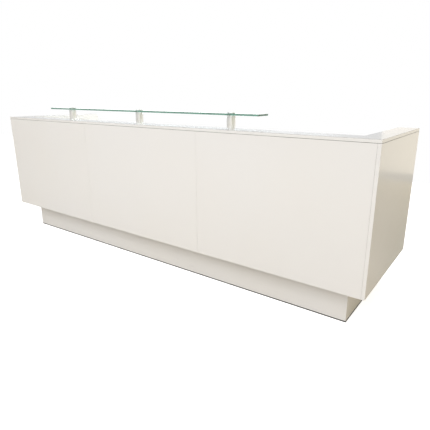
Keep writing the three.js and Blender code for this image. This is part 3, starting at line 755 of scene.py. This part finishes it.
def add_standoffs():
    """Each post and cap, the stud that joins them through the glass, and the gaskets that bed them."""
    hob_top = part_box("hob_front")[1][2]
    glass_low, glass_high = (corner[2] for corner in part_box("glass_shelf"))
    cap_low = glass_high + GASKET
    for where in ("left", "centre", "right"):
        post_low, post_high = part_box(f"standoff_post_{where}")
        cap_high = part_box(f"standoff_cap_{where}")[1]
        x, y = (post_low[0] + post_high[0]) / 2, (post_low[1] + post_high[1]) / 2
        radius = (post_high[0] - post_low[0]) / 2
        cap_radius = cap_high[0] - x

        mesh = bmesh.new()
        post = rounded_disc(radius, hob_top + GASKET, post_high[2], POST_ROUNDING)
        turned(mesh, post, (x, y, 0), segments=POST_SEGMENTS)
        add_piece(f"post_{where}", mesh, STEEL, "carcass", [f"standoff_post_{where}"])

        mesh = bmesh.new()
        cap = rounded_disc(cap_radius, cap_low, cap_high[2], POST_ROUNDING)
        turned(mesh, cap, (x, y, 0), segments=POST_SEGMENTS)
        stud = [(0, post_high[2]), (STUD_RADIUS, post_high[2]), (STUD_RADIUS, cap_low), (0, cap_low)]
        turned(mesh, stud, (x, y, 0))
        add_piece(f"post_cap_{where}", mesh, STEEL, "carcass", [f"standoff_cap_{where}"])

        mesh = bmesh.new()
        for profile in (
            washer(STUD_RADIUS, radius - GASKET_INSET, hob_top, hob_top + GASKET),
            washer(SLEEVE_RADIUS, radius - GASKET_INSET, post_high[2], glass_low),
            washer(SLEEVE_RADIUS, cap_radius - GASKET_INSET, glass_high, cap_low),
            washer(STUD_RADIUS + HAIR, SLEEVE_RADIUS, post_high[2], cap_low),
        ):
            turned(mesh, profile, (x, y, 0), closed=True)
        add_piece(f"post_gaskets_{where}", mesh, CLEAR_SOFT, "carcass")


# ---- Handles ----
ROSETTE_RADIUS = 8 * MM
ROSETTE = millimetres([
    (0, 0), (7.6, 0), (8, 0.4), (8, 2.2), (7.7, 2.7), (7.1, 3), (5.6, 3), (5.1, 2.6), (0, 2.6),
])
HANDLE_ROD = 5 * MM
HANDLE_BEND = 13 * MM
HANDLE_START = 0.2 * MM  # how far off the front the rod starts, inside its rosette
HANDLE_SCREW = 4.2 * MM
BEND_STEPS = 12
BOX_WALL = 12 * MM  # thickness of a drawer box's front wall


def add_handle(node, body, along):
    """A bent steel bow: it leaves the front towards +Y and runs along the given axis."""
    low, high = (Vector(corner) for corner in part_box(node))
    middle = (low + high) / 2
    foot = Vector((middle.x, low.y, middle.z))
    half = (high - low).dot(along) / 2 - ROSETTE_RADIUS
    reach = high.y - low.y - HANDLE_ROD
    quarter = [math.pi / 2 * i / BEND_STEPS for i in range(BEND_STEPS + 1)]
    path = []
    for sign in (-1, 1):
        corner = foot + sign * (half - HANDLE_BEND) * along + (reach - HANDLE_BEND) * Y
        leg = [foot + sign * half * along + HANDLE_START * Y]
        leg += [corner + HANDLE_BEND * (sign * math.cos(a) * along + math.sin(a) * Y) for a in quarter]
        path += leg if sign < 0 else leg[::-1]
    mesh = bmesh.new()
    rod(mesh, path, HANDLE_ROD, along.cross(Y))
    for sign in (-1, 1):
        turned(mesh, ROSETTE, foot + sign * half * along, Y)
    add_piece(f"{node}_bow", mesh, STEEL, body, [node])
    return foot, half


def add_handles():
    """The bows, and the heads of the screws that hold them, on the inside of each front."""
    for number in (1, 2, 3):
        foot, half = add_handle(f"drawer_handle_{number}", f"drawer_{number}", X)
        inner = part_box(f"drawer_box_{number}")[1][1] - BOX_WALL
        places = [(foot.x + sign * half, inner, foot.z) for sign in (-1, 1)]
        add_screws(f"handle_screws_{number}", f"drawer_{number}", -Y, HANDLE_SCREW, places)
    foot, half = add_handle("cupboard_handle", "door", Z)
    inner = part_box("cupboard_door")[0][1]
    places = [(foot.x, inner, foot.z + sign * half) for sign in (-1, 1)]
    add_screws("handle_screws_door", "door", -Y, HANDLE_SCREW, places)


# ---- Cupboard and drawer fittings ----
HINGE_LEAF = 1.2 * MM
HINGE_SCREW = 3.4 * MM
HINGE_SCREW_STEP = 22 * MM
HINGE_ROW_INNER, HINGE_ROW_OUTER = 12 * MM, 26 * MM  # from the frame leaf's -Y edge
DOOR_LEAF_SCREW = 0.25 * MM  # how far the door's screws sit off the middle of their gap


def add_hinge_screws():
    """Three screw heads on each leaf of the two butt hinges."""
    door_low, door_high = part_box("cupboard_door")
    door_y, step = (door_low[1] + door_high[1]) / 2, HINGE_SCREW_STEP
    for where in ("upper", "lower"):
        low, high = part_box(f"hinge_frame_leaf_{where}")
        middle = (low[2] + high[2]) / 2
        inner_row, outer_row = low[1] + HINGE_ROW_INNER, low[1] + HINGE_ROW_OUTER
        places = [
            (low[0] + HINGE_LEAF, y, middle + rise)
            for y, rise in ((inner_row, step), (outer_row, 0), (inner_row, -step))
        ]
        add_screws(f"hinge_screws_frame_{where}", "carcass", X, HINGE_SCREW, places)
        leaf_x = (low[0] + HINGE_LEAF + door_low[0]) / 2 + DOOR_LEAF_SCREW
        places = [(leaf_x, door_y, middle + rise) for rise in (-step, 0, step)]
        add_screws(f"hinge_screws_door_{where}", "door", -X, HINGE_SCREW, places)


LOCK_ROSETTE = millimetres([
    (12.3, 0), (15.4, 0), (15.4, 0.4), (14.9, 1.2), (13.8, 1.8), (12.9, 1.8), (12.3, 1.3),
])
LOCK_CORE = millimetres([
    (6.6, -0.05), (8.2, -0.05), (8.2, 0.2), (7.9, 0.4), (6.9, 0.4), (6.6, 0.2),
])
LOCK_SEGMENTS = 64


def add_lock_trim():
    """A pressed rosette around the lock's nose, and the ring of its core, which turns with the key."""
    joints = {joint["name"]: joint for joint in frame["record"]["behaviour"]["joints"]}
    x, _, z = joints["lock_turn"]["pos_m"]
    front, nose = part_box("drawer_front_1")[1][1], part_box("drawer_lock")[1][1]
    for name, profile, face, body in (
        ("lock_rosette", LOCK_ROSETTE, front + HAIR, "drawer_1"),
        ("lock_core_ring", LOCK_CORE, nose, "lock"),
    ):
        mesh = bmesh.new()
        turned(mesh, profile, (x, face, z), Y, closed=True, segments=LOCK_SEGMENTS)
        add_piece(name, mesh, STEEL, body)


PEG_PLATE = 4.5 * MM  # radius of its round plate, whose rim touches the shelf
PEG_INSET = 60 * MM
PEG = millimetres([(0, 0), (4.5, 0), (4.5, 1.2), (4.1, 1.6), (2.5, 1.6), (2.5, 8.6), (2.1, 9), (0, 9)])


def add_shelf_pegs():
    """Four steel pegs under the loose shelf."""
    low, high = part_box("cupboard_shelf")
    walls = ((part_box("wing_lining_left")[1][0], X), (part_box("gable_left")[0][0], -X))
    mesh = bmesh.new()
    for wall_x, axis in walls:
        for y in (low[1] + PEG_INSET, high[1] - PEG_INSET):
            turned(mesh, PEG, (wall_x, y, low[2] - PEG_PLATE), axis, segments=RIM_SEGMENTS)
    add_piece("shelf_pegs", mesh, ZINC, "carcass")


CATCH_INSET = 90 * MM  # from the door's free edge
# Each block of the catch: half its width, then (nearest, furthest) from the door's back and (bottom, top)
# under the worktop, then the rounding of its edges.
CATCH_HOUSING = (22 * MM, (3 * MM, 20 * MM), (13 * MM, HAIR), 1.2 * MM)
CATCH_POLES = (
    (17 * MM, (1.6 * MM, 4 * MM), (10.5 * MM, 9 * MM), 0.3 * MM),
    (17 * MM, (1.6 * MM, 4 * MM), (6.5 * MM, 5 * MM), 0.3 * MM),
)
CATCH_PLATE = (19 * MM, (0, 1.2 * MM), (14 * MM, 3.2 * MM), 0.3 * MM)


def add_door_catch():
    """A magnetic catch under the worktop, and its strike plate on the door."""
    door_low, door_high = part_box("cupboard_door")
    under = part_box("worktop")[0][2]
    middle_x = door_high[0] - CATCH_INSET
    back = door_low[1]

    def block(mesh, half_width, behind, below, rounding, segments=2):
        """One block of the catch, from one of the rows above."""
        (near, far), (bottom, top) = behind, below
        slab(
            mesh,
            (middle_x - half_width, back - far, under - bottom),
            (middle_x + half_width, back - near, under - top),
            rounding,
            segments,
        )

    mesh = bmesh.new()
    block(mesh, *CATCH_HOUSING, segments=3)
    add_piece("catch_housing", mesh, GREY, "carcass")
    mesh = bmesh.new()
    for pole in CATCH_POLES:
        block(mesh, *pole)
    add_piece("catch_poles", mesh, ZINC, "carcass")
    mesh = bmesh.new()
    block(mesh, *CATCH_PLATE)
    add_piece("catch_plate", mesh, ZINC, "door")


BUMPER_INSET = 14 * MM
BUMPER = millimetres([(0, 0), (4, 0), (3.9, 0.7), (3.2, 1.3), (2, 1.7), (0, 1.8)])


def add_bumpers():
    """Clear domes that soften the meeting of each front with its gable."""
    meetings = [("cupboard_door", "gable_left", "door")]
    meetings += [(f"drawer_front_{number}", "gable_right", f"drawer_{number}") for number in (1, 2, 3)]
    for front, gable, body in meetings:
        low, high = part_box(front)
        gable_low, gable_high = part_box(gable)
        x = (gable_low[0] + gable_high[0]) / 2
        mesh = bmesh.new()
        for z in (low[2] + BUMPER_INSET, high[2] - BUMPER_INSET):
            turned(mesh, BUMPER, (x, low[1], z), -Y, segments=RIM_SEGMENTS)
        add_piece(f"bumpers_{body}", mesh, CLEAR_SOFT, body)


RUNNER_SHEET = 1.5 * MM
RUNNER_SCREW = 4.5 * MM
RUNNER_SCREW_INSET = 30 * MM
RUNNER_SCREW_RISES = (90 * MM, 260 * MM, 410 * MM)  # over the frame's foot


def add_runner_screws():
    """Nine screw heads that hold each runner frame to its wall."""
    for side, axis in (("left", X), ("right", -X)):
        low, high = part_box(f"runner_frame_{side}")
        face = low[0] + RUNNER_SHEET if axis.x > 0 else high[0] - RUNNER_SHEET
        places = [
            (face, y, low[2] + rise)
            for y in (high[1] - RUNNER_SCREW_INSET, (low[1] + high[1]) / 2, low[1] + RUNNER_SCREW_INSET)
            for rise in RUNNER_SCREW_RISES
        ]
        add_screws(f"runner_screws_{side}", "carcass", axis, RUNNER_SCREW, places)


CAP_INSET = 80 * MM
COVER_CAP = millimetres([(0, 0), (6.5, 0), (6.5, 0.5), (6, 1), (4.6, 1.35), (0, 1.5)])


def add_cover_caps():
    """White caps over the screws that hold each gable to its deck, on the kneehole side."""
    deck_low, deck_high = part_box("base_deck_left")
    mesh = bmesh.new()
    for side, sign in SIDES:
        low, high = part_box(f"gable_{side}")
        face = high[0] if sign < 0 else low[0]
        for y in (low[1] + CAP_INSET, (low[1] + high[1]) / 2, high[1] - CAP_INSET):
            place = (face, y, (deck_low[2] + deck_high[2]) / 2)
            turned(mesh, COVER_CAP, place, -sign * X, segments=RIM_SEGMENTS)
    add_piece("cover_caps", mesh, WHITE_CAP, "carcass")


# ---- Adjustable legs ----
LEG_FOOT = (27 * MM, 9 * MM)  # radius, height
LEG_FOOT_ROUNDING = 2 * MM
LEG_NECK = 4 * MM  # height of the slope from the foot to the thread
LEG_THREAD_RADIUS = 15 * MM
LEG_THREAD_DEPTH = 1 * MM
LEG_THREAD_PITCH = 4 * MM
LEG_CREST = 0.4  # where the crest of a thread lies, in pitches
LEG_HEXAGON = (21 * MM, 18 * MM, 42 * MM)  # radius, bottom, top
LEG_CHAMFER = 1 * MM
LEG_SLEEVE_RADIUS = 20 * MM
LEG_SLEEVE_LENGTH = 60 * MM
LEG_HEAD = (30 * MM, 6 * MM)  # radius, height
LEG_HEAD_CHAMFER = 0.5 * MM
LEG_DECK_GAP = 0.3 * MM
LEG_RIBS = 8
LEG_RIB_HALF = 1.1 * MM
LEG_RIB_SUNK = 1 * MM  # how far a rib reaches into the sleeve
LEG_RIB_SHORT = 2 * MM  # how far it stays inside the head's rim
LEG_RIB_FOOT = 6 * MM  # where it starts, over the sleeve's foot
LEG_RIB_SHOULDER = 4 * MM  # the height of its outer edge, under the head
LEG_SEGMENTS = 36


def add_leg(where, side, number):
    """A moulded leg: a round foot, a thread, a hexagon for the spanner, a ribbed sleeve and its head."""
    node = f"leg_{where}_{side}"
    low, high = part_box(node)
    x, y = (low[0] + high[0]) / 2, (low[1] + high[1]) / 2
    deck_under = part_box(f"base_deck_{side}")[0][2] - LEG_DECK_GAP
    foot_radius, foot_height = LEG_FOOT
    head_radius, head_height = LEG_HEAD
    sleeve_low = deck_under - LEG_SLEEVE_LENGTH
    head_low = deck_under - head_height
    root = LEG_THREAD_RADIUS - LEG_THREAD_DEPTH
    mesh = bmesh.new()
    profile = rounded_disc(foot_radius, low[2], low[2] + foot_height, LEG_FOOT_ROUNDING)[:-1]
    z = low[2] + foot_height + LEG_NECK
    profile.append((root, z))
    while z < sleeve_low - LEG_THREAD_PITCH:
        profile.append((LEG_THREAD_RADIUS, z + LEG_CREST * LEG_THREAD_PITCH))
        z += LEG_THREAD_PITCH
        profile.append((root, z))
    profile += [
        (LEG_THREAD_RADIUS, sleeve_low),
        (LEG_SLEEVE_RADIUS - LEG_CHAMFER, sleeve_low),
        (LEG_SLEEVE_RADIUS, sleeve_low + LEG_CHAMFER),
        (LEG_SLEEVE_RADIUS, head_low),
        (head_radius - LEG_HEAD_CHAMFER, head_low),
        (head_radius, head_low + LEG_HEAD_CHAMFER),
        (head_radius, deck_under),
        (0, deck_under),
    ]
    turned(mesh, profile, (x, y, 0), segments=LEG_SEGMENTS)
    hexagon_radius, hexagon_low, hexagon_high = LEG_HEXAGON
    hexagon = [
        (0, hexagon_low),
        (hexagon_radius - LEG_CHAMFER, hexagon_low),
        (hexagon_radius, hexagon_low + LEG_CHAMFER),
        (hexagon_radius, hexagon_high - LEG_CHAMFER),
        (hexagon_radius - LEG_CHAMFER, hexagon_high),
        (0, hexagon_high),
    ]
    turned(mesh, hexagon, (x, y, 0), segments=6)
    inner, outer = LEG_SLEEVE_RADIUS - LEG_RIB_SUNK, head_radius - LEG_RIB_SHORT
    rib_foot, shoulder = sleeve_low + LEG_RIB_FOOT, head_low - LEG_RIB_SHOULDER
    corners = [(inner, rib_foot), (outer, shoulder), (outer, head_low), (inner, head_low)]
    base = Vector((x, y, 0))
    for angle in circle_angles(LEG_RIBS):
        outward = Vector((math.cos(angle), math.sin(angle), 0))
        across = Z.cross(outward)
        rings = [
            [
                mesh.verts.new(base + radius * outward + sign * LEG_RIB_HALF * across + height * Z)
                for radius, height in corners
            ]
            for sign in (-1, 1)
        ]
        link_rings(mesh, rings)
        mesh.faces.new(rings[0])
        mesh.faces.new(rings[1])
    add_piece(f"{node}_moulding", mesh, BLACK, f"leg_{number}", [node])


def add_legs():
    """Six legs, whose bodies are numbered front, rear, inner on the left and then on the right."""
    spots = [(where, side) for side, _ in SIDES for where in ("front", "rear", "inner")]
    for number, (where, side) in enumerate(spots, start=1):
        add_leg(where, side, number)


add_camera()
add_world()
add_floor()
for area_light in AREA_LIGHTS:
    add_area_light(*area_light)

dress_cad_nodes()
add_seam_filler("seam_end_left", "side_panel_left", "front_panel_left")
add_seam_filler("seam_left", "front_panel_left", "front_panel_centre")
add_seam_filler("seam_right", "front_panel_centre", "front_panel_right")
add_seam_filler("seam_end_right", "front_panel_right", "side_panel_right")
add_hob_shadow_strip()
add_hob_edge_line()
add_plinth_shadow_strip()
add_worktop_edge_band()
add_standoffs()
add_handles()
add_hinge_screws()
add_lock_trim()
add_shelf_pegs()
add_door_catch()
add_bumpers()
add_runner_screws()
add_cover_caps()
add_legs()

bpy.context.scene.view_settings.view_transform = "Standard"
